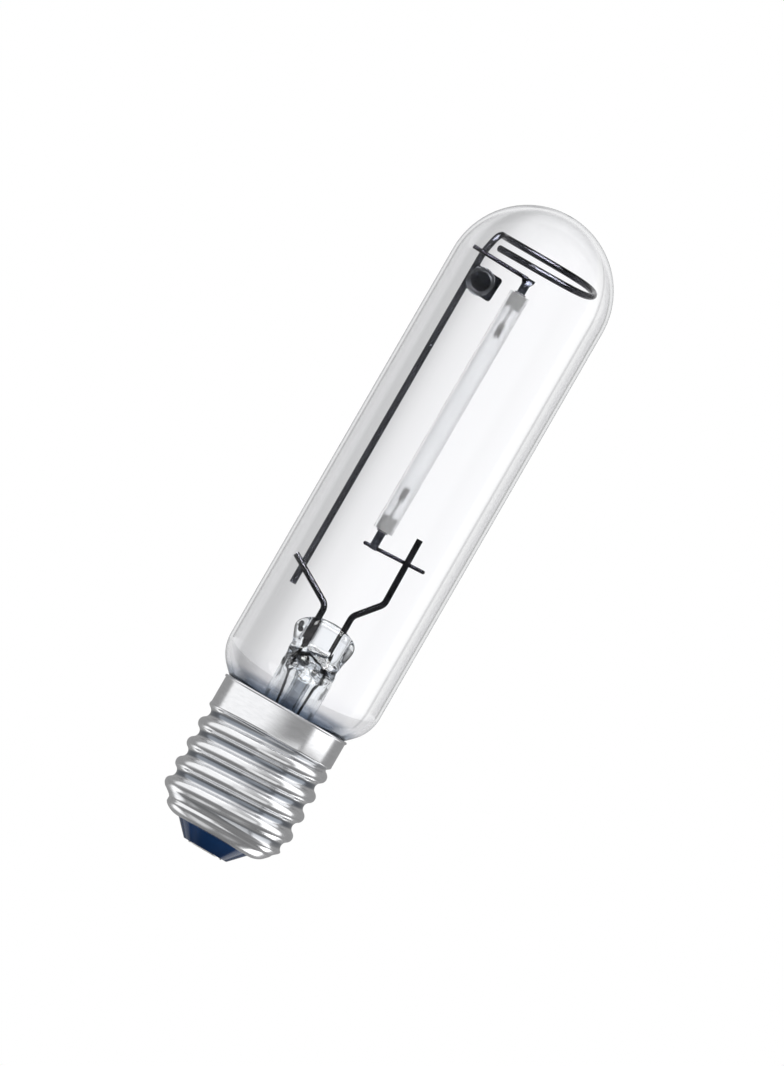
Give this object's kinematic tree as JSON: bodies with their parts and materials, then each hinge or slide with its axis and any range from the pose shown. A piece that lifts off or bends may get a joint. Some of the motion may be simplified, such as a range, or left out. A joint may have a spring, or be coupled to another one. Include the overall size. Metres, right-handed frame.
{
  "type": "high-pressure sodium grow lamp",
  "caption": "Clear tubular discharge lamp with a rolled screw cap, glass stem, wire frame with a dome ring, and a slim white ceramic arc tube.",
  "frame": {"origin": "centre of the end contact's lower face", "axes": "+Z along the lamp from the end contact to the dome; +X in the plane of the pinch, from the frame wire towards the long right lead"},
  "size_m": [0.048, 0.048, 0.2043],
  "materials": {
    "contact_metal": "tin-plated brass, satin",
    "solder": "soft solder, satin",
    "insulator_glass": "dark opaque glass, glossy",
    "shell_metal": "nickel-plated brass, satin",
    "cap_cement": "matt cement",
    "bulb_glass": "clear polished glass",
    "stem_glass": "clear pressed glass",
    "seal_wire": "oxidised seal wire",
    "outer_lead": "drawn nickel wire",
    "mount_wire": "drawn nickel wire, dark and bright-striped",
    "arc_tube_alumina": "translucent sintered alumina",
    "end_plug_ceramic": "sintered alumina, opaque",
    "frit": "fused sealing frit",
    "niobium": "drawn niobium tube, dull grey",
    "tungsten": "tungsten, dull grey",
    "amalgam": "bright sodium amalgam",
    "getter_plate_metal": "dark rolled steel",
    "getter_cup_metal": "pressed steel channel"
  },
  "bodies": {
    "root": {"contact_plate": "contact_metal", "contact_solder": "solder", "cap_insulator": "insulator_glass", "cap_shell": "shell_metal", "side_solder": "solder", "cap_cement": "cap_cement", "outer_bulb": "bulb_glass", "stem_glass": "stem_glass", "exhaust_tube": "stem_glass", "left_seal_wire": "seal_wire", "right_seal_wire": "seal_wire", "side_outer_lead": "outer_lead", "centre_outer_lead": "outer_lead", "left_inner_lead": "mount_wire", "right_inner_lead": "mount_wire", "frame_wire": "mount_wire", "upper_cross_rod": "mount_wire", "lower_cross_wire": "mount_wire", "arc_tube": "arc_tube_alumina", "upper_end_plug": "end_plug_ceramic", "lower_end_plug": "end_plug_ceramic", "upper_frit_seal": "frit", "lower_frit_seal": "frit", "upper_niobium_tube": "niobium", "lower_niobium_tube": "niobium", "upper_electrode_rod": "tungsten", "lower_electrode_rod": "tungsten", "upper_electrode_coil": "tungsten", "lower_electrode_coil": "tungsten", "amalgam_pellet": "amalgam", "getter_plate": "getter_plate_metal", "getter_ring": "getter_cup_metal"}
  },
  "joints": []
}
